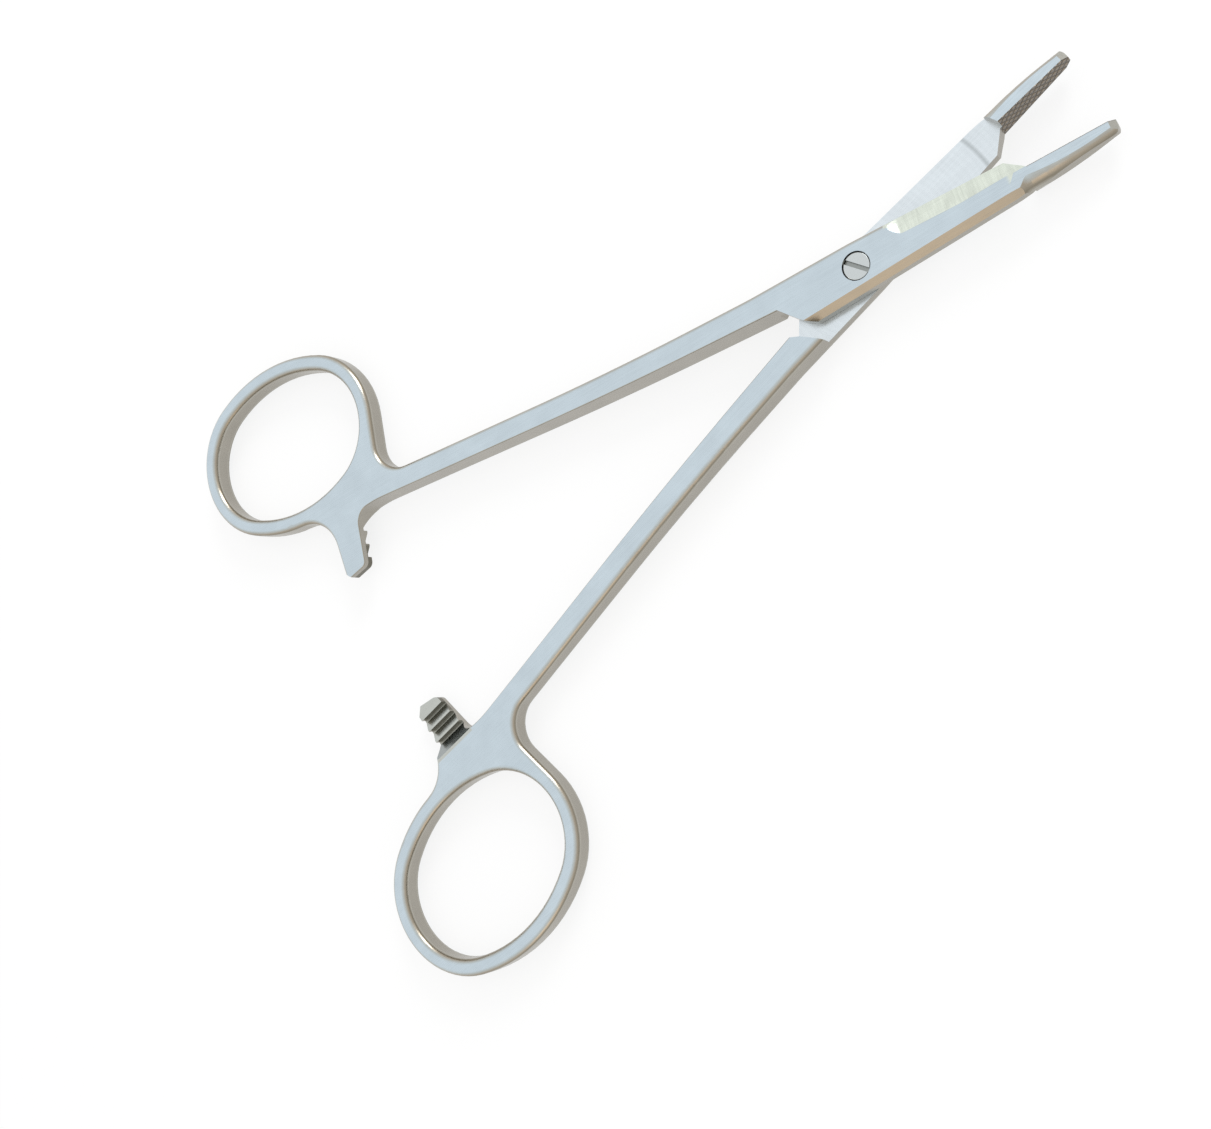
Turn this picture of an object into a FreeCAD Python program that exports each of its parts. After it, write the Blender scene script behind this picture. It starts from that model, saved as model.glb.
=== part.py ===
import FreeCAD, Part

import math
import os

from FreeCAD import Placement, Rotation, Vector

# Needle holder with scissor blades: two forged halves cross in a lap joint on a slotted screw.
# Each half is drawn closed, lying along X: the jaw at +X with its gripping face on the XZ plane,
# the handle at -X, the lap face on z = 0 and the outer face up. Both halves are the same forging,
# the lower one turned over about X. Millimetres.

doc = FreeCAD.newDocument("needle_holder")

sizes = (
    # thicknesses, measured over both faces
    ("joint_thickness", 4.4),
    ("bow_thickness", 3.6),
    ("jaw_tip_thickness", 2.4),
    ("lap_clearance", 0.04),
    ("opening_angle", 16.8),
    # finger ring: an oval of four arcs
    ("ring_reach", 90.0),
    ("ring_offset", 22.25),
    ("ring_hole_length", 29.1),
    ("ring_hole_width", 20.9),
    ("ring_end_radius", 9.25),
    ("ring_wall", 2.4),
    ("ring_tilt", -4.0),
    ("neck_lean", 11.8),
    ("crotch_height", 9.85),
    ("crotch_radius", 4.2),
    # shank: straight at both ends with one long bend
    ("shank_bend", 35.0),
    ("shank_bend_height", 2.05),
    ("shank_width", 3.0),
    ("shank_bend_run", 13.0),
    ("heel_from_ring", 13.0),
    ("heel_height", 6.85),
    ("heel_radius", 20.0),
    ("taper_start", 14.0),
    ("taper_from_ring", 26.0),
    ("taper_bend_run", 1.5),
    # joint plate and scissor blade
    ("plate_back", 11.0),
    ("plate_back_height", 0.2),
    ("plate_corner_back", 7.2),
    ("plate_corner_run", 1.3),
    ("plate_corner_rise", 0.65),
    ("plate_corner_radius", 4.0),
    ("plate_edge", 3.35),
    ("plate_top", 3.25),
    ("plate_neck_height", 3.65),
    ("plate_neck_radius", 60.0),
    ("shoulder_height", 1.2),
    ("shoulder_turn_run", 3.3),
    ("shoulder_turn_radius", 0.8),
    ("shoulder_edge_run", 0.55),
    ("shoulder_clearance", 0.9),
    ("blade_start", 4.9),
    ("blade_end", 19.7),
    ("blade_height_start", 2.95),
    ("blade_height_end", 2.0),
    ("hollow_foot", 0.05),
    ("hollow_depth", 0.7),
    ("hollow_run_out", 9.0),
    ("hollow_run_out_radius", 25.0),
    # jaw
    ("jaw_start", 21.9),
    ("jaw_reach", 32.2),
    ("jaw_width_base", 2.6),
    ("jaw_width_tip", 1.4),
    ("jaw_tip_radius", 0.8),
    ("jaw_back_depth", 0.15),
    ("jaw_back_start", 18.5),
    ("jaw_shoulder_reach", 21.3),
    ("jaw_shoulder_radius", 2.2),
    ("jaw_shoulder_rounding", 1.5),
    ("jaw_belly_reach", 26.5),
    ("jaw_belly_radius", 2.05),
    ("jaw_belly_run", 3.0),
    ("tip_bevel_run", 0.8),
    ("tip_bevel_depth", 0.7),
    ("jaw_clearance", 0.04),
    ("jaw_shoulder_clearance", 0.4),
    ("jaw_shoulder_lean", 0.33),
    # ratchet arm
    ("arm_from_ring", 6.25),
    ("arm_width_root", 5.5),
    ("arm_width_tip", 4.2),
    ("arm_lean_run", 0.75),
    ("arm_overrun", 1.65),
    ("arm_tip_cut", 1.1),
    ("arm_tip_rise", 0.6),
    ("arm_tip_radius", 1.0),
    ("arm_root_height", 6.75),
    ("arm_fillet_radius", 5.5),
    ("arm_inner_radius", 2.6),
    ("tooth_count", 3),
    ("tooth_pitch", 1.95),
    ("tooth_depth", 0.75),
    ("tooth_valley", 0.4),
    ("tooth_crest", 0.3),
    ("tooth_overlap", 0.16),
    ("tooth_clearance", 0.06),
    ("ratchet_flank_run", 2.75),
    # pivot screw
    ("head_diameter", 3.4),
    ("head_height", 1.0),
    ("head_recess", 0.1),
    ("head_clearance", 0.1),
    ("pin_diameter", 2.4),
    ("pin_clearance", 0.02),
    ("thread_diameter", 2.0),
    ("thread_clearance", 0.01),
    ("slot_width", 0.55),
    ("slot_depth", 0.5),
    ("slot_angle", -55.0),
    # edges
    ("round_edge_radius", 0.95),
    ("inner_edge_radius", 0.2),
    ("plate_bevel_width", 0.75),
    ("plate_bevel_depth", 1.0),
)

sheet = doc.addObject("Spreadsheet::Sheet", "Sizes")
for row, (alias, value) in enumerate(sizes, 1):
    sheet.set("A%d" % row, alias)
    sheet.set("B%d" % row, str(value))
    sheet.setAlias("B%d" % row, alias)
doc.recompute()


def size(alias):
    return float(sheet.get(alias))


def plane(body, role):
    for feature in body.Origin.OriginFeatures:
        if feature.Role == role:
            return feature
    raise RuntimeError("no plane " + role)


def sketch_on(body, name, curves, role="XY_Plane", offset=0.0):
    sketch = body.newObject("Sketcher::SketchObject", name)
    sketch.AttachmentSupport = [(plane(body, role), "")]
    sketch.MapMode = "FlatFace"
    sketch.AttachmentOffset = Placement(Vector(0, 0, offset), Rotation())
    sketch.addGeometry(curves, False)
    return sketch


def heading(degrees):
    return Vector(math.cos(math.radians(degrees)), math.sin(math.radians(degrees)), 0)


def arc_between(center, radius, begin, end):
    # the shorter arc of a circle from one point to another
    a = math.atan2(begin.y - center.y, begin.x - center.x)
    b = math.atan2(end.y - center.y, end.x - center.x)
    turn = (b - a + math.pi) % (2 * math.pi) - math.pi
    if turn < 0:
        a, b = b, a
    circle = Part.Circle(center, Vector(0, 0, 1), radius)
    return Part.ArcOfCircle(circle, a, a + abs(turn))


def run_radius(run, before, corner, after):
    # radius whose rounding takes up that much of each side of a corner
    back = Vector(before[0] - corner[0], before[1] - corner[1], 0)
    ahead = Vector(after[0] - corner[0], after[1] - corner[1], 0)
    return run * math.tan(back.getAngle(ahead) / 2)


def rounded_path(corners):
    # straight edges through (x, y, radius) corners, each corner rounded by its own radius
    points = [Vector(x, y, 0) for x, y, radius in corners]
    curves = []
    here = points[0]
    for i in range(1, len(points)):
        corner = points[i]
        radius = corners[i][2]
        if i + 1 == len(points) or not radius:
            curves.append(Part.LineSegment(here, corner))
            here = corner
            continue
        back = (points[i - 1] - corner).normalize()
        ahead = (points[i + 1] - corner).normalize()
        half_angle = back.getAngle(ahead) / 2
        begin = corner + back * (radius / math.tan(half_angle))
        end = corner + ahead * (radius / math.tan(half_angle))
        center = corner + (back + ahead).normalize() * (radius / math.sin(half_angle))
        curves.append(Part.LineSegment(here, begin))
        curves.append(arc_between(center, radius, begin, end))
        here = end
    return curves


class Oval:
    # four tangent arcs: two tighter ends and two flatter sides, turned by a tilt
    def __init__(self, center, length, width, end_radius, tilt):
        self.along = heading(tilt)
        self.across = heading(tilt + 90)
        run = length / 2 - end_radius
        half_width = width / 2
        self.end_radius = end_radius
        self.side_radius = (run**2 + half_width**2 - end_radius**2) / (2 * (half_width - end_radius))
        rise = self.side_radius - half_width
        self.front = center + self.along * run
        self.rear = center - self.along * run
        self.top = center - self.across * rise
        self.bottom = center + self.across * rise

    def joint(self, end, side):
        # where an end arc meets a side arc
        return end + (end - side).normalize() * self.end_radius

    def arcs(self, begin=None, finish=None):
        # the oval from a point on its front arc, over the top, to a point on its bottom arc
        front_top = self.joint(self.front, self.top)
        rear_top = self.joint(self.rear, self.top)
        rear_bottom = self.joint(self.rear, self.bottom)
        front_bottom = self.joint(self.front, self.bottom)
        return [
            arc_between(self.front, self.end_radius, begin or front_bottom, front_top),
            arc_between(self.top, self.side_radius, front_top, rear_top),
            arc_between(self.rear, self.end_radius, rear_top, rear_bottom),
            arc_between(self.bottom, self.side_radius, rear_bottom, finish or front_bottom),
        ]


half_joint = size("joint_thickness") / 2
half_bow = size("bow_thickness") / 2
half_tip = size("jaw_tip_thickness") / 2
gap = size("lap_clearance") / 2
jaw_face = -size("jaw_clearance") / 2
ring_center = Vector(-size("ring_reach"), size("ring_offset"), 0)
wall = size("ring_wall")
arm = -size("ring_reach") + size("arm_from_ring")
far = 130.0


def half_outline():
    ring = Oval(
        ring_center,
        size("ring_hole_length") + 2 * wall,
        size("ring_hole_width") + 2 * wall,
        size("ring_end_radius") + wall,
        size("ring_tilt"),
    )
    # neck: a straight side that leaves the ring's front arc and runs down to the crotch
    lean = size("neck_lean")
    neck = ring.front + heading(-lean) * ring.end_radius
    down = heading(-90 - lean)
    crotch = neck + down * ((neck.y - size("crotch_height")) / -down.y)
    # ratchet arm: its outer side runs into the ring's bottom arc through a fillet
    root = size("arm_width_root") / 2
    tip = size("arm_width_tip") / 2
    arm_end = -size("arm_overrun")
    arm_root = Vector(arm - root, size("arm_root_height"), 0)
    arm_tip = Vector(arm - size("arm_lean_run") - tip, arm_end, 0)
    rise = (arm_root - arm_tip).normalize()
    outward = Vector(-rise.y, rise.x, 0)
    radius = size("arm_fillet_radius")
    start = arm_tip + outward * radius - ring.bottom
    reach = ring.side_radius + radius
    along = -start.dot(rise) - math.sqrt(start.dot(rise) ** 2 - start.dot(start) + reach**2)
    fillet = arm_tip + outward * radius + rise * along
    on_ring = ring.bottom + (fillet - ring.bottom).normalize() * ring.side_radius
    on_arm = fillet - outward * radius
    cut = size("arm_tip_cut")
    # shank: both sides bend by as much of their length
    run = size("shank_bend_run")
    inner_bend = (-size("shank_bend"), size("shank_bend_height"))
    outer_bend = (-size("shank_bend"), size("shank_bend_height") + size("shank_width"))
    plate_neck = (-size("taper_start"), size("plate_neck_height"))
    plate_back = (-size("plate_back"), size("plate_back_height"))
    heel = (-size("ring_reach") + size("heel_from_ring"), size("heel_height"))
    corner = -size("plate_corner_back")
    edge = -size("plate_edge")
    corners = [
        (neck.x, neck.y, 0),
        (crotch.x, crotch.y, size("crotch_radius")),
        (*outer_bend, run_radius(run, crotch, outer_bend, plate_neck)),
        (*plate_neck, size("plate_neck_radius")),
        (0, size("plate_top"), 0),
        (size("blade_start"), size("blade_height_start"), 0),
        (size("blade_end"), size("blade_height_end"), 0),
        (size("jaw_start"), jaw_face, 0),
        (size("jaw_reach"), jaw_face, 0),
        (size("jaw_reach"), -size("jaw_width_tip"), size("jaw_tip_radius")),
        (size("blade_end"), -size("jaw_width_base"), 0),
        (corner, edge, 0),
        (corner - size("plate_corner_run"), edge + size("plate_corner_rise"), size("plate_corner_radius")),
        (*plate_back, 0),
        (*inner_bend, run_radius(run, plate_back, inner_bend, heel)),
        (*heel, size("heel_radius")),
        (arm + root, size("arm_root_height"), size("arm_inner_radius")),
        (arm_tip.x + 2 * tip, arm_end + size("arm_tip_rise"), size("arm_tip_radius")),
        (arm_tip.x + cut, arm_end, 0),
        (arm_tip.x - rise.x * cut, arm_tip.y + cut, 0),
        (on_arm.x, on_arm.y, 0),
    ]
    outline = rounded_path(corners)
    outline.append(arc_between(fillet, radius, on_arm, on_ring))
    return outline + ring.arcs(neck, on_ring)


def side_profile(upper):
    # outside of the side view, above or below: level plate, tapering jaw, slimmer bow
    way = 1 if upper else -1
    reach = size("jaw_reach")
    run = size("taper_bend_run")
    bevel_run = size("tip_bevel_run")
    bevel_slope = size("tip_bevel_depth") / bevel_run
    slim = (-size("ring_reach") + size("taper_from_ring"), half_bow)
    full = (-size("taper_start"), half_joint)
    blade_end = (size("blade_end"), half_joint)
    tip = (reach - bevel_run, half_tip)
    corners = [
        (-far, half_bow, 0),
        (*slim, run_radius(run, (-far, half_bow), slim, full)),
        (*full, run_radius(run, slim, full, blade_end)),
        (*blade_end, run_radius(run, full, blade_end, tip)),
        (*tip, 0),
        (reach + bevel_run, half_tip - 2 * bevel_run * bevel_slope, 0),
        (reach + bevel_run, 2 * half_joint, 0),
        (-far, 2 * half_joint, 0),
        (-far, half_bow, 0),
    ]
    return rounded_path([(x, way * y, radius) for x, y, radius in corners])


def lap_outline():
    # the half's cut-away side, between the shank's shoulder and the jaw's shoulder
    height = size("shoulder_height")
    edge = size("plate_edge")
    low = Vector(-size("plate_back") - size("shoulder_clearance"), 0, 0)
    turn = Vector(-size("plate_corner_back") - size("shoulder_turn_run"), height, 0)
    high = Vector(-size("plate_corner_back") - size("shoulder_edge_run"), 1.4 * edge, 0)
    jaw = size("jaw_start") + size("jaw_shoulder_clearance")
    lean = size("jaw_shoulder_lean")
    below = low + (low - turn)
    corners = [
        (below.x, below.y, 0),
        (turn.x, turn.y, size("shoulder_turn_radius")),
        (high.x, high.y, 0),
        (jaw + high.y * lean, high.y, 0),
        (jaw - 2 * edge * lean, -2 * edge, 0),
        (below.x, -2 * edge, 0),
        (below.x, below.y, 0),
    ]
    return rounded_path(corners)


def ratchet_outline():
    # everything under the ratchet arm, in y and z: a slanted flank, then the notches
    lift = size("tooth_clearance") / 2
    deep = lift + size("tooth_depth")
    pitch = size("tooth_pitch")
    count = int(size("tooth_count"))
    land_end = size("tooth_overlap")
    beyond = -size("arm_overrun") - 2
    root = land_end + (count - 1) * pitch + size("tooth_valley")
    points = [(root + size("ratchet_flank_run"), -half_joint), (root, deep)]
    for i in reversed(range(count)):
        face = land_end + i * pitch
        points += [(face, deep), (face, lift)]
        if i:
            points += [(face - size("tooth_crest"), lift), (face - pitch + size("tooth_valley"), deep)]
    points += [(beyond, lift), (beyond, -half_joint), points[0]]
    return rounded_path([(x, y, 0) for x, y in points])


def bevel_outline():
    # wedge off the outer face, in y from the plate's edge and z
    width = size("plate_bevel_width")
    depth = size("plate_bevel_depth")
    corners = [
        (-width, half_joint - 2 * depth, 0),
        (2 * width, half_joint + depth, 0),
        (-width, half_joint + depth, 0),
        (-width, half_joint - 2 * depth, 0),
    ]
    return rounded_path(corners)


def hollow_profile(radius):
    # the grinding wheel's rim beside its own axis, with the run-out at the joint
    start = size("blade_start")
    depth = size("hollow_depth")
    run = size("hollow_run_out")
    end = size("jaw_start") + 3 * depth
    inside = -radius + 3 * depth
    corners = [
        (start - 0.6, inside, 0),
        (start - 0.3, -radius + 1.1 * depth, 0),
        (start + 1.5, -radius + 0.3 * depth, 1.5),
        (start + run, -radius, size("hollow_run_out_radius")),
        (end, -radius, 0),
        (end, inside, 0),
        (start - 0.6, inside, 0),
    ]
    return rounded_path(corners)


def jaw_back_profile():
    # everything outside the jaw's rounded back, drawn beside the line that it is turned about
    depth = size("jaw_back_depth")
    widest = math.hypot(size("plate_edge") - depth, half_joint)
    start = size("jaw_back_start")
    shoulder = (size("jaw_shoulder_reach"), -size("jaw_shoulder_radius"))
    belly = (size("jaw_belly_reach"), -size("jaw_belly_radius"))
    tip = (size("jaw_reach"), depth - size("jaw_width_tip"))
    beyond = tip[0] + widest
    corners = [
        (start, -widest, 0),
        (*shoulder, size("jaw_shoulder_rounding")),
        (*belly, run_radius(size("jaw_belly_run"), shoulder, belly, tip)),
        (*tip, 0),
        (beyond, tip[1], 0),
        (beyond, -2 * widest, 0),
        (start, -2 * widest, 0),
        (start, -widest, 0),
    ]
    return rounded_path(corners)


def groove(body, name, profile):
    before = body.Tip.Shape.Volume
    feature = body.newObject("PartDesign::Groove", name)
    feature.Profile = profile
    feature.ReferenceAxis = (profile, ["H_Axis"])
    feature.Angle = 360
    doc.recompute()
    if not body.Tip.Shape.Volume < before - 1e-6:
        raise RuntimeError(name + " cuts nothing")
    return feature


def pad(body, name, sketch, length):
    feature = body.newObject("PartDesign::Pad", name)
    feature.Profile = sketch
    feature.Midplane = True
    feature.setExpression("Length", length)
    doc.recompute()
    return feature


def pocket(body, name, sketch, length, midplane=False, reversed_side=False):
    before = body.Tip.Shape.Volume
    feature = body.newObject("PartDesign::Pocket", name)
    feature.Profile = sketch
    feature.Midplane = midplane
    feature.Reversed = reversed_side
    if isinstance(length, str):
        feature.setExpression("Length", length)
    else:
        feature.Length = length
    doc.recompute()
    if not body.Tip.Shape.Volume < before - 1e-6:
        raise RuntimeError(name + " cuts nothing")
    return feature


def round_off(body, name, seeds, radius):
    # rounds the edge nearest to each seed point, and every edge that runs on smoothly from it
    base = body.Tip
    names = []
    for seed in seeds:
        near = Part.Vertex(seed)
        reach = []
        for i, edge in enumerate(base.Shape.Edges):
            box = edge.BoundBox
            box.enlarge(1)
            if box.isInside(seed):
                reach.append((edge.distToShape(near)[0], i + 1))
        names.append("Edge%d" % min(reach)[1])
    feature = body.newObject("PartDesign::Fillet", name)
    feature.Base = (base, names)
    feature.setExpression("Radius", radius)
    doc.recompute()
    if feature.Shape.isNull() or not feature.Shape.Volume < base.Shape.Volume:
        raise RuntimeError(name + " changes nothing")
    return feature


def disc(diameter, x=0.0, y=0.0):
    return [Part.Circle(Vector(x, y, 0), Vector(0, 0, 1), diameter / 2)]


def both_faces(x, y, height):
    return [Vector(x, y, height), Vector(x, y, -height)]


def make_half(name):
    body = doc.addObject("PartDesign::Body", name)
    doc.recompute()
    wide = 2 * far
    pad(body, "Forging", sketch_on(body, "HalfOutline", half_outline()), "Sizes.joint_thickness")
    hole = Oval(
        ring_center,
        size("ring_hole_length"),
        size("ring_hole_width"),
        size("ring_end_radius"),
        size("ring_tilt"),
    )
    pocket(body, "FingerHole", sketch_on(body, "HoleOutline", hole.arcs()), wide, midplane=True)
    for side in (True, False):
        word = "Top" if side else "Bottom"
        profile = sketch_on(body, word + "Profile", side_profile(side), "XZ_Plane")
        pocket(body, word + "Thickness", profile, wide, midplane=True)

    # ring and the shank's outer side are well rounded, its inner side only broken
    ring_rear = hole.rear - hole.along * (hole.end_radius + wall)
    hole_rear = hole.rear - hole.along * hole.end_radius
    seeds = both_faces(ring_rear.x, ring_rear.y, half_bow) + both_faces(hole_rear.x, hole_rear.y, half_bow)
    round_off(body, "RoundedEdges", seeds, "Sizes.round_edge_radius")
    seeds = both_faces(-size("shank_bend"), size("shank_bend_height"), half_joint)
    round_off(body, "InnerEdges", seeds, "Sizes.inner_edge_radius")
    profile = sketch_on(body, "JawBackProfile", jaw_back_profile())
    profile.AttachmentOffset = Placement(Vector(0, -size("jaw_back_depth"), 0), Rotation())
    groove(body, "JawBack", profile)

    # flat bevel along the plate's outer edge
    corner = Vector(-size("plate_corner_back"), -size("plate_edge"), 0)
    along = Vector(size("blade_end"), -size("jaw_width_base"), 0) - corner
    slope = along.y / along.x
    bevel = sketch_on(body, "BevelProfile", bevel_outline(), "YZ_Plane")
    bevel.AttachmentOffset = Placement(
        Vector(corner.y - corner.x * slope, 0, 0), Rotation(Vector(0, 1, 0), math.degrees(math.atan(slope)))
    )
    pocket(body, "PlateBevel", bevel, 2 * far, midplane=True)

    # lap side cut away below the lap face
    lap = sketch_on(body, "LapOutline", lap_outline(), offset=gap)
    pocket(body, "LapSide", lap, 3 * half_joint)
    teeth = sketch_on(body, "RatchetOutline", ratchet_outline(), "YZ_Plane", arm)
    pocket(body, "Ratchet", teeth, "Sizes.arm_width_root * 1.5", midplane=True)

    # hollow ground into the blade's outer face, from a wheel whose axis lies along the blade
    deep = size("hollow_depth")
    reach = size("blade_height_start") - size("hollow_foot")
    radius = (reach**2 + deep**2) / (2 * deep)
    profile = sketch_on(body, "HollowProfile", hollow_profile(radius), "XZ_Plane")
    profile.AttachmentOffset = Placement(
        Vector(0, half_joint - deep + radius, -size("blade_height_start")), Rotation()
    )
    groove(body, "HollowGrind", profile)
    return body


upper = make_half("upper_half")
head_hole = size("head_diameter") + 2 * size("head_clearance")
recess = sketch_on(upper, "HeadOutline", disc(head_hole), offset=half_joint)
pocket(upper, "HeadRecess", recess, "Sizes.head_height + Sizes.head_recess + Sizes.lap_clearance / 2")
bore = sketch_on(upper, "PinOutline", disc(size("pin_diameter") + 2 * size("pin_clearance")))
pocket(upper, "PinBore", bore, 4 * half_joint, midplane=True)

lower = make_half("lower_half")
bore = sketch_on(lower, "ThreadOutline", disc(size("thread_diameter") + 2 * size("thread_clearance")))
pocket(lower, "ThreadBore", bore, 4 * half_joint, midplane=True)

screw = doc.addObject("PartDesign::Body", "pivot_screw")
doc.recompute()
head_top = half_joint - size("head_recess")
head_bottom = head_top - size("head_height")
shank_end = -half_joint
pin = size("pin_diameter") / 2
thread = size("thread_diameter") / 2
head = size("head_diameter") / 2
turned = rounded_path([
    (0, head_top, 0),
    (head, head_top, 0.15),
    (head, head_bottom, 0),
    (pin, head_bottom, 0),
    (pin, -gap, 0),
    (thread, -gap, 0),
    (thread, shank_end, 0),
    (0, shank_end, 0),
    (0, head_top, 0),
])
profile = sketch_on(screw, "ScrewProfile", turned, "XZ_Plane")
solid = screw.newObject("PartDesign::Revolution", "Turned")
solid.Profile = profile
solid.ReferenceAxis = (profile, ["V_Axis"])
solid.Angle = 360
doc.recompute()
across = size("slot_width") / 2
slot_corners = [
    (-2 * head, -across, 0),
    (2 * head, -across, 0),
    (2 * head, across, 0),
    (-2 * head, across, 0),
    (-2 * head, -across, 0),
]
slot = sketch_on(screw, "SlotOutline", rounded_path(slot_corners))
slot.AttachmentOffset = Placement(Vector(0, 0, head_top), Rotation(Vector(0, 0, 1), size("slot_angle")))
pocket(screw, "Slot", slot, "Sizes.slot_depth")

# the open pose of the photograph: each half swings by half the opening angle
swing = size("opening_angle") / 2
lift = Vector(0, 0, half_joint)
vertical = Vector(0, 0, 1)
upper.Placement = Placement(lift, Rotation(vertical, -swing))
lower.Placement = Placement(lift, Rotation(vertical, swing) * Rotation(Vector(1, 0, 0), 180))
screw.Placement = Placement(lift, Rotation())
doc.recompute()

os.makedirs("parts", exist_ok=True)
for node in (upper, lower, screw):
    for item in [node] + node.Group:
        if "Invalid" in item.State or "Error" in item.State:
            raise RuntimeError(item.Name + " failed")
    if node.Shape.isNull() or not node.Shape.isValid():
        raise RuntimeError(node.Label + " has no valid shape")
    node.Shape.exportStep("parts/%s.step" % node.Label)
    shape = node.Shape
    print(node.Label, round(shape.Volume, 1), len(shape.Solids), len(shape.Faces), shape.BoundBox)
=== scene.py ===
import math

import bpy
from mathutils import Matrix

# Needle holder with scissor blades, lying open on a pale floor. Metres, pivot at the origin.

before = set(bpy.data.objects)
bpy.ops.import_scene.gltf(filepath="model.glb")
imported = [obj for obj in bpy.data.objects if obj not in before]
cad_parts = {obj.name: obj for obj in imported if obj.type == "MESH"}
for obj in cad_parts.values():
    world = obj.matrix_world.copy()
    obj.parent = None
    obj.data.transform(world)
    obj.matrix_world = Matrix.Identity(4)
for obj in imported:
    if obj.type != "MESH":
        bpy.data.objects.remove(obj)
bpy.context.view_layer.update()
bpy.ops.object.select_all(action="DESELECT")
mm = 0.001

# Each half has its own frame: x along the closed instrument towards the tips, y across it with
# the ring at +y, z up through its outer face from the lap.
halves = {
    "upper_half": {"turn": -8.4, "over": 0},
    "lower_half": {"turn": 8.4, "over": 180},
}
lapHeight = 2.2 * mm
waveUnit = 0.314                # a wave texture's Scale is this over the pitch of its lines


def linear(code):
    parts = [int(code[i:i + 2], 16) / 255 for i in (1, 3, 5)]
    return [c / 12.92 if c <= 0.04045 else ((c + 0.055) / 1.055) ** 2.4 for c in parts] + [1]


def addNode(tree, kind, settings=None, links=None):
    node = tree.nodes.new(kind)
    for key, value in (settings or {}).items():
        if key == "stops":
            while len(node.color_ramp.elements) < len(value):
                node.color_ramp.elements.new(1)
            for stop, (position, code) in zip(node.color_ramp.elements, value):
                stop.position = position
                stop.color = linear(code)
        elif isinstance(key, str) and hasattr(node, key):
            setattr(node, key, value)
        else:
            node.inputs[key].default_value = value
    for key, source in (links or {}).items():
        tree.links.new(source, node.inputs[key])
    return node


def newMaterial(name):
    material = bpy.data.materials.new(name)
    material.use_nodes = True
    tree = material.node_tree
    shader = tree.nodes["Principled BSDF"]
    shader.inputs["Metallic"].default_value = 1
    return material, tree, shader


def remap(tree, value, span, result=(0, 1)):
    return addNode(
        tree, "ShaderNodeMapRange", {1: span[0], 2: span[1], 3: result[0], 4: result[1]}, {0: value}
    ).outputs[0]


def between(tree, value, span, soft):
    # 1 between the two ends of the span, fading over soft inside both
    rise = remap(tree, value, (span[0], span[0] + soft))
    fall = remap(tree, value, (span[1] - soft, span[1]), (1, 0))
    return addNode(tree, "ShaderNodeMath", {"operation": "MULTIPLY"}, {0: rise, 1: fall}).outputs[0]


def toned(tree, code, tone):
    return addNode(
        tree, "ShaderNodeVectorMath", {"operation": "SCALE", 0: linear(code)[:3]}, {"Scale": tone}
    ).outputs[0]


def paintOver(tree, under, paint, masks, share=1.0):
    # a colour code or a socket over what is there, where every mask is 1
    cover = masks[0]
    for mask in masks[1:]:
        cover = addNode(tree, "ShaderNodeMath", {"operation": "MULTIPLY"}, {0: cover, 1: mask}).outputs[0]
    cover = addNode(tree, "ShaderNodeMath", {"operation": "MULTIPLY", 1: share}, {0: cover}).outputs[0]
    settings = {"data_type": "RGBA"}
    links = {0: cover, 6: under}
    if isinstance(paint, str):
        settings[7] = linear(paint)
    else:
        links[7] = paint
    return addNode(tree, "ShaderNodeMix", settings, links).outputs[2]


def seenDirectly(tree):
    # 1 for a ray from the camera or a reflection, 0 for the light that the surface gives
    path = addNode(tree, "ShaderNodeLightPath")
    return addNode(
        tree, "ShaderNodeMath", {"operation": "MAXIMUM"},
        {0: path.outputs["Is Camera Ray"], 1: path.outputs["Is Glossy Ray"]},
    ).outputs[0]


noiseSpan = (0.3, 0.7)          # the part of a noise texture's values that is used
steel = {
    # painted shade and reflection by how level the surface is, the same all round: 0 is a side wall, 1 a
    # flat face
    "sides": (
        (0.00, "#A39F96"),      # mopped side walls, painted greyer than the faces: painted shade
        (0.18, "#B0ADA4"),
        (0.42, "#857E70"),      # rounded corners, painted darker: painted shade and reflection
        # warm band on the corners just below the faces: painted reflection
        (0.66, "#A39A8B"),
        (0.88, "#B6BDBD"),
        (0.97, "#C3D0D8"),      # ground faces
    ),
    "flat": (0.75, 0.9),        # how level a flat face is
    "grainPitch": 0.2 * mm,     # coarser than real brush lines, so that they show
    "grainLength": 6.0 * mm,
    "grainTone": (0.97, 1.03),
    "grainBump": 0.15,
    "grainDepth": 0.01 * mm,
    "mottle": 4.0 * mm,         # slow change of tone left by polishing by hand
    "mottleTone": (0.96, 1.04),
    "roughness": (0.21, 0.32),
}
lap = {
    "color": "#DAE2E7",
    "height": (-0.1 * mm, 0.1 * mm),
    "near": (23 * mm, 24 * mm),     # how far from the pivot the lap's face ends
    "soft": 0.02 * mm,
    "arcPitch": 0.8 * mm,
    "arcWobble": 1.2,
    "arcTone": (0.985, 1.01),
    "rub": (18.0 * mm, 18.8 * mm),  # ring that the other half's edge rubs
    "rubSoft": 0.35 * mm,
    "rubShare": 0.8,
    "rubColor": "#B4BBBE",
}
hollow = {
    "color": "#D9E0D5",
    "along": (4.6 * mm, 22.0 * mm),
    "alongSoft": 0.2 * mm,
    "height": (0.9 * mm, 2.18 * mm),
    "across": (0.02 * mm, 7 * mm),
    "overrun": 1 * mm,              # further over the jaw's line along the blade,
    "overrunEnd": (19.6 * mm, 20.4 * mm),   # up to the jaw's shoulder
    "soft": 0.02 * mm,
    "level": (0.4, 0.6),
    "streak": 0.3 * mm,
    "streakShape": (1, 0.08, 0.08),
    "streakTone": (0.88, 1.08),
}
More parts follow.
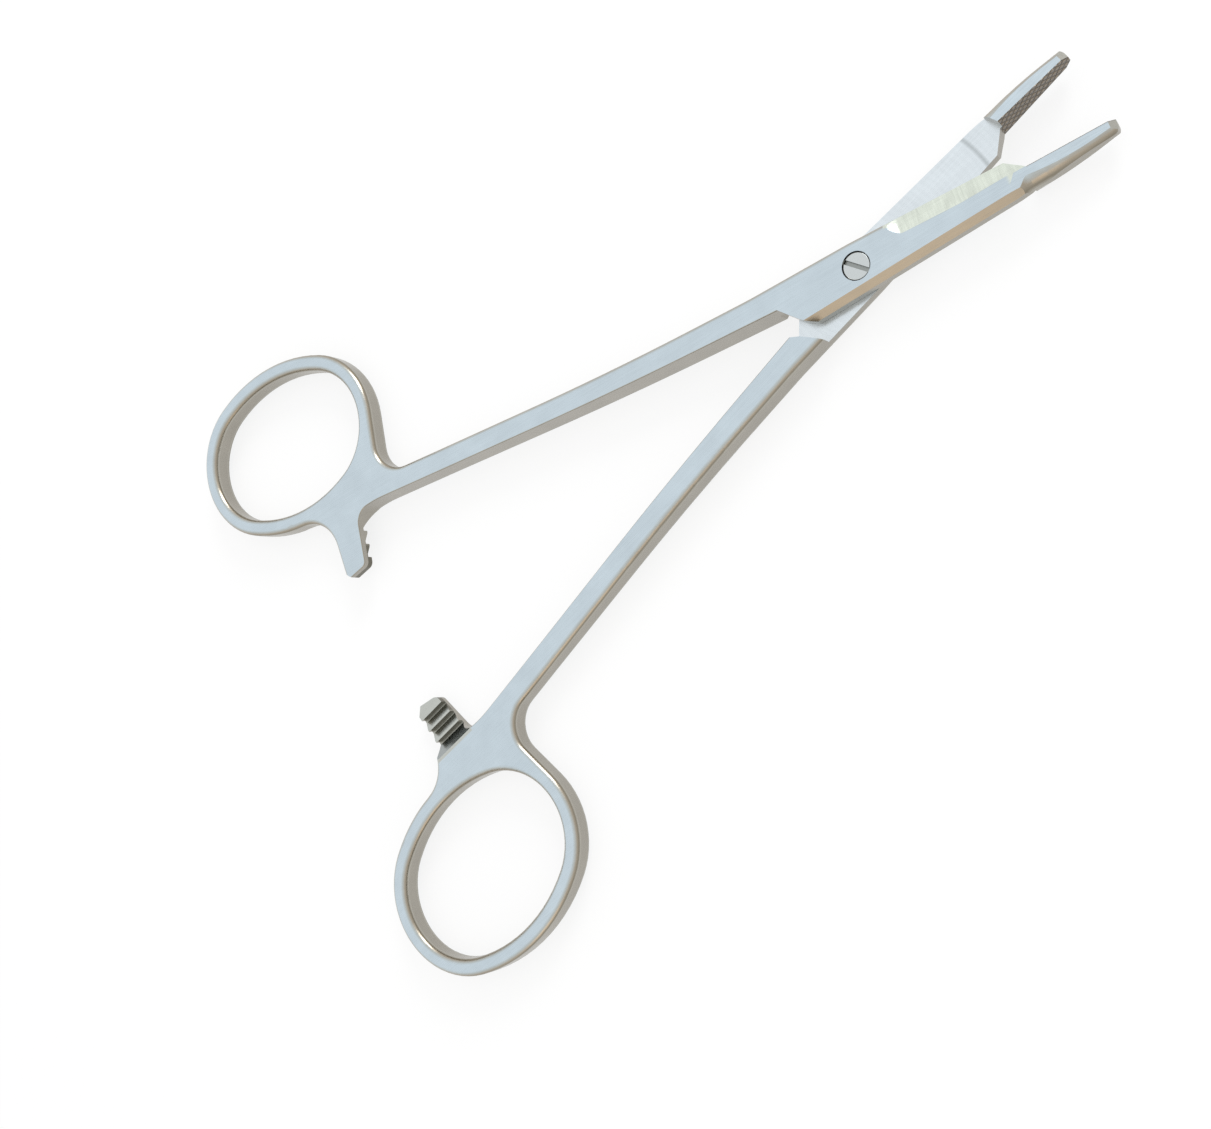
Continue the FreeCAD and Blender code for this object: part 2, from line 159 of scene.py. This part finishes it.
ratchet = {
    "crest": "#BEC1BC",
    # painted shade: darker where the teeth dip and on their steep and sloping sides
    "valleyShade": "#A2A39B",
    "step": "#6E6B61",
    "flank": "#8E9595",
    "along": (-88.6 * mm, -79.4 * mm),
    "across": (-2.4 * mm, 7.3 * mm),
    "height": (-2.2 * mm, 0.95 * mm),
    "soft": 0.05 * mm,
    "notchHeight": (0.25 * mm, 0.7 * mm),
    "stepInset": (2.3 * mm, 2.4 * mm),
    "stepLevel": (0.2, 0.45),
    "flankLevel": (0.5, 0.8),
    "flankLevelSoft": 0.05,
    "flankHeight": (-2.1 * mm, 0.8 * mm),
    "edgeSoft": 0.1 * mm,
}
jaw = {
    # dark brown-grey of the serrated face: painted shade
    "color": "#796F62",
    "along": (21.9 * mm, 32.4 * mm),
    "alongSoft": 0.1 * mm,
    "across": (-0.08 * mm, 0.08 * mm),
    "acrossSoft": 0.02 * mm,
    "pitch": 0.72 * mm,
    "slants": (45, -45),
    "waveSpan": (0, 0.6),
    # painted shade in the cuts, painted highlight on the ridges
    "tone": (0.4, 1.4),
    "bump": 0.9,
    "depth": 0.15 * mm,
}


# forged stainless steel, ground flat on the faces and mopped over the sides: satin all over; the sides
# and rounded corners are painted greyer and darker than the faces by their slope: painted shade and
# reflection
def forgedSteel(name, turn, over):
    material, tree, shader = newMaterial(name)
    coords = addNode(tree, "ShaderNodeTexCoord")
    own = addNode(
        tree, "ShaderNodeMapping",
        {
            "vector_type": "TEXTURE",
            "Location": (0, 0, lapHeight),
            "Rotation": (math.radians(over), 0, math.radians(turn)),
        },
        {"Vector": coords.outputs["Object"]},
    ).outputs[0]
    axes = addNode(tree, "ShaderNodeSeparateXYZ", links={0: own})
    alongHalf, acrossHalf, upHalf = axes.outputs
    normal = addNode(tree, "ShaderNodeSeparateXYZ", links={0: coords.outputs["Normal"]})
    level = addNode(
        tree, "ShaderNodeMath", {"operation": "ABSOLUTE"}, {0: normal.outputs["Z"]}
    ).outputs[0]
    isFlat = remap(tree, level, steel["flat"])

    # brushed grain along the half, and slow mottling
    stretch = addNode(
        tree, "ShaderNodeMapping",
        {"Scale": (1 / steel["grainLength"], 1 / steel["grainPitch"], 1 / steel["grainPitch"])},
        {"Vector": own},
    )
    grain = addNode(
        tree, "ShaderNodeTexNoise", {"Scale": 1, "Detail": 3, "Roughness": 0.65},
        {"Vector": stretch.outputs[0]},
    ).outputs[0]
    mottle = addNode(
        tree, "ShaderNodeTexNoise", {"Scale": 1 / steel["mottle"], "Detail": 4, "Roughness": 0.6},
        {"Vector": own},
    ).outputs[0]

    # base tone from the slope ramp: painted shade and reflection on walls and rounded corners
    color = addNode(tree, "ShaderNodeValToRGB", {"stops": steel["sides"]}, {0: level}).outputs[0]

    # lap face: rubbed in arcs about the pivot by the other half
    outward = addNode(
        tree, "ShaderNodeVectorMath", {"operation": "MULTIPLY", 1: (1, 1, 0)}, {0: own}
    )
    fromPivot = addNode(
        tree, "ShaderNodeVectorMath", {"operation": "LENGTH"}, {0: outward.outputs[0]}
    ).outputs["Value"]
    onLap = between(tree, upHalf, lap["height"], lap["soft"])
    nearPivot = remap(tree, fromPivot, lap["near"], (1, 0))
    arcs = addNode(
        tree, "ShaderNodeTexWave",
        {
            "wave_type": "RINGS", "rings_direction": "Z",
            "Scale": waveUnit / lap["arcPitch"], "Distortion": lap["arcWobble"], "Detail": 2,
        },
        {"Vector": own},
    ).outputs["Fac"]
    arcTone = remap(tree, arcs, (0, 1), lap["arcTone"])
    color = paintOver(tree, color, toned(tree, lap["color"], arcTone), [onLap, nearPivot, isFlat])
    rubbed = between(tree, fromPivot, lap["rub"], lap["rubSoft"])
    color = paintOver(tree, color, lap["rubColor"], [onLap, rubbed, isFlat], lap["rubShare"])

    # hollow ground blade: pale and slightly green, with the wheel's lines across the blade
    alongBlade = between(tree, alongHalf, hollow["along"], hollow["alongSoft"])
    shift = remap(tree, alongHalf, hollow["overrunEnd"], (hollow["overrun"], 0))
    fromEdge = addNode(
        tree, "ShaderNodeMath", {"operation": "ADD"}, {0: acrossHalf, 1: shift}
    ).outputs[0]
    besideCrest = between(tree, fromEdge, hollow["across"], hollow["soft"])
    underFace = between(tree, upHalf, hollow["height"], hollow["soft"])
    isGround = remap(tree, level, hollow["level"])
    wheel = addNode(
        tree, "ShaderNodeMapping",
        {"Scale": [share / hollow["streak"] for share in hollow["streakShape"]]}, {"Vector": own},
    )
    streaks = addNode(
        tree, "ShaderNodeTexNoise", {"Scale": 1, "Detail": 3, "Roughness": 0.7},
        {"Vector": wheel.outputs[0]},
    ).outputs[0]
    streakTone = remap(tree, streaks, noiseSpan, hollow["streakTone"])
    color = paintOver(
        tree, color, toned(tree, hollow["color"], streakTone),
        [alongBlade, besideCrest, underFace, isGround],
    )

    # ratchet arm's toothed side: light crests, with painted shade darker in the notches, darkest on the
    # steps and grey on the flank
    armStart, armEnd = ratchet["along"]
    alongArm = between(tree, alongHalf, ratchet["along"], ratchet["soft"])
    acrossArm = between(tree, acrossHalf, ratchet["across"], ratchet["soft"])
    toothed = between(tree, upHalf, ratchet["height"], ratchet["soft"])
    inNotch = remap(tree, upHalf, ratchet["notchHeight"])
    crests = [alongArm, acrossArm, toothed, isFlat]
    color = paintOver(tree, color, ratchet["crest"], crests)
    color = paintOver(tree, color, ratchet["valleyShade"], crests + [inNotch])
    isStep = remap(tree, level, ratchet["stepLevel"], (1, 0))
    stepSpan = (armStart + ratchet["stepInset"][0], armEnd - ratchet["stepInset"][1])
    stepWay = between(tree, alongHalf, stepSpan, ratchet["edgeSoft"])
    color = paintOver(tree, color, ratchet["step"], [stepWay, acrossArm, toothed, isStep])
    isFlank = between(tree, level, ratchet["flankLevel"], ratchet["flankLevelSoft"])
    flankHeight = between(tree, upHalf, ratchet["flankHeight"], ratchet["edgeSoft"])
    color = paintOver(
        tree, color, ratchet["flank"], [alongArm, acrossArm, flankHeight, isFlank]
    )

    # jaw face: fine crossed serrations that hold the needle, painted dark brown-grey, with painted shade
    # in the cuts and a painted highlight on the ridges
    alongJaw = between(tree, alongHalf, jaw["along"], jaw["alongSoft"])
    onFace = between(tree, acrossHalf, jaw["across"], jaw["acrossSoft"])
    onJaw = addNode(
        tree, "ShaderNodeMath", {"operation": "MULTIPLY"}, {0: alongJaw, 1: onFace}
    ).outputs[0]
    cuts = []
    for slant in jaw["slants"]:
        turned = addNode(
            tree, "ShaderNodeMapping", {"Rotation": (0, math.radians(slant), 0)}, {"Vector": own}
        )
        cuts.append(addNode(
            tree, "ShaderNodeTexWave",
            {
                "bands_direction": "X", "wave_profile": "TRI",
                "Scale": waveUnit / jaw["pitch"], "Distortion": 0,
            },
            {"Vector": turned.outputs[0]},
        ).outputs["Fac"])
    crossed = addNode(
        tree, "ShaderNodeMath", {"operation": "MINIMUM"}, {0: cuts[0], 1: cuts[1]}
    ).outputs[0]
    cutShadeTone = remap(tree, crossed, jaw["waveSpan"], jaw["tone"])
    color = paintOver(tree, color, toned(tree, jaw["color"], cutShadeTone), [onJaw])

    # grain and mottling over everything
    streak = remap(tree, grain, noiseSpan, steel["grainTone"])
    cloud = remap(tree, mottle, noiseSpan, steel["mottleTone"])
    shade = addNode(tree, "ShaderNodeMath", {"operation": "MULTIPLY"}, {0: streak, 1: cloud})
    shaded = addNode(
        tree, "ShaderNodeVectorMath", {"operation": "SCALE"},
        {0: color, "Scale": shade.outputs[0]},
    )
    tree.links.new(shaded.outputs[0], shader.inputs["Base Color"])
    rough = remap(tree, grain, noiseSpan, steel["roughness"])
    tree.links.new(rough, shader.inputs["Roughness"])

    # fine relief of the grain, deep relief of the serrations
    fine = addNode(
        tree, "ShaderNodeBump", {"Strength": steel["grainBump"], "Distance": steel["grainDepth"]},
        {"Height": grain},
    )
    cutHeight = addNode(
        tree, "ShaderNodeMath", {"operation": "MULTIPLY"}, {0: crossed, 1: onJaw}
    ).outputs[0]
    deep = addNode(
        tree, "ShaderNodeBump", {"Strength": jaw["bump"], "Distance": jaw["depth"]},
        {"Height": cutHeight, "Normal": fine.outputs[0]},
    )
    tree.links.new(deep.outputs[0], shader.inputs["Normal"])
    return material


screw = {
    "color": "#C9CFD0",
    # the slot's floor and every steep wall: painted shade
    "slotFloorShade": "#9A9F9D",
    "steepWallShade": "#5A5C58",
    "slotHeight": (3.85 * mm, 4.25 * mm),   # from the slot's floor to the head's top
    "wallLevel": (0.4, 0.8),
    "turnPitch": 0.12 * mm,
    "turnWobble": 0.4,
    "turnTone": (0.94, 1.04),
    "roughness": 0.3,
}


# turned stainless steel: bright, with faint rings from the lathe; the sawn slot's floor and every steep
# wall are painted darker, a painted shade
def turnedSteel(name):
    material, tree, shader = newMaterial(name)
    coords = addNode(tree, "ShaderNodeTexCoord")
    axes = addNode(tree, "ShaderNodeSeparateXYZ", links={0: coords.outputs["Object"]})
    normal = addNode(tree, "ShaderNodeSeparateXYZ", links={0: coords.outputs["Normal"]})
    level = addNode(
        tree, "ShaderNodeMath", {"operation": "ABSOLUTE"}, {0: normal.outputs["Z"]}
    ).outputs[0]
    inSlot = remap(tree, axes.outputs["Z"], screw["slotHeight"], (1, 0))
    isWall = remap(tree, level, screw["wallLevel"], (1, 0))
    rings = addNode(
        tree, "ShaderNodeTexWave",
        {
            "wave_type": "RINGS", "rings_direction": "Z",
            "Scale": waveUnit / screw["turnPitch"], "Distortion": screw["turnWobble"],
        },
        {"Vector": coords.outputs["Object"]},
    ).outputs["Fac"]
    tone = remap(tree, rings, (0, 1), screw["turnTone"])
    # painted shade: slot floor darker, steep walls darker still
    color = paintOver(tree, toned(tree, screw["color"], tone), screw["slotFloorShade"], [inSlot])
    color = paintOver(tree, color, screw["steepWallShade"], [isWall])
    tree.links.new(color, shader.inputs["Base Color"])
    shader.inputs["Roughness"].default_value = screw["roughness"]
    return material


def dress(node, material):
    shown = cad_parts[node]
    for i in range(len(shown.material_slots)):
        shown.material_slots[i].material = material


for node, place in halves.items():
    dress(node, forgedSteel(node + "Steel", **place))
dress("pivot_screw", turnedSteel("screwSteel"))
print("steel done")

# pale floor that runs out to white and keeps the contact shadow
floorLook = {
    "color": "#FFFFFF", "glow": 0.8, "size": 4.0, "drop": 0.05 * mm, "roughness": 0.9, "shine": 0.1,
}
bpy.ops.mesh.primitive_plane_add(size=floorLook["size"], location=(0, 0, -floorLook["drop"]))
floor = bpy.context.object
floor.name = "floor"
floorMaterial, tree, shader = newMaterial("paleFloor")
shader.inputs["Metallic"].default_value = 0
shader.inputs["Base Color"].default_value = linear(floorLook["color"])
shader.inputs["Roughness"].default_value = floorLook["roughness"]
shader.inputs["Specular IOR Level"].default_value = floorLook["shine"]
share = addNode(
    tree, "ShaderNodeMath", {"operation": "MULTIPLY", 1: floorLook["glow"]}, {0: seenDirectly(tree)}
)
glow = addNode(tree, "ShaderNodeEmission", {"Strength": 1.0})
mixed = addNode(
    tree, "ShaderNodeMixShader",
    links={0: share.outputs[0], 1: shader.outputs[0], 2: glow.outputs[0]},
)
tree.links.new(mixed.outputs[0], tree.nodes["Material Output"].inputs["Surface"])
floor.data.materials.append(floorMaterial)

# soft studio light: a white room, a soft box that draws the edges and a weak warm one opposite
room = {"color": "#FFFFFF", "light": 0.9, "seen": 1.0}
world = bpy.data.worlds.new("studio")
bpy.context.scene.world = world
world.use_nodes = True
tree = world.node_tree
back = tree.nodes["Background"]
back.inputs["Color"].default_value = linear(room["color"])
strength = remap(tree, seenDirectly(tree), (0, 1), (room["light"], room["seen"]))
tree.links.new(strength, back.inputs["Strength"])

lamps = {
    "edgeBox": {"at": (0.42, 0.45, 0.32), "size": 0.25, "watts": 2.0, "color": "#FFFFFF"},
    "warmBox": {"at": (-0.18, -0.55, 0.12), "size": 0.25, "watts": 0.15, "color": "#F6D9B4"},
}
for name, lamp in lamps.items():
    bpy.ops.object.light_add(type="AREA", location=lamp["at"])
    light = bpy.context.object
    light.name = name
    light.data.size = lamp["size"]
    light.data.energy = lamp["watts"]
    light.data.color = linear(lamp["color"])[:3]
    light.rotation_euler = (-light.location.normalized()).to_track_quat("-Z", "Y").to_euler()
print("light done")

camera = {
    "at": (28.73 * mm, -70.26 * mm, 165.44 * mm), "turn": (3.1000, 30.7903, -31.6358),
    "lens": 42.997, "sensor": 36, "near": 0.01,
}
bpy.ops.object.camera_add(location=camera["at"], rotation=[math.radians(a) for a in camera["turn"]])
view = bpy.context.object
view.data.sensor_width = camera["sensor"]
view.data.sensor_fit = "HORIZONTAL"
view.data.lens = camera["lens"]
view.data.clip_start = camera["near"]
bpy.context.scene.camera = view
bpy.context.scene.view_settings.view_transform = "Standard"
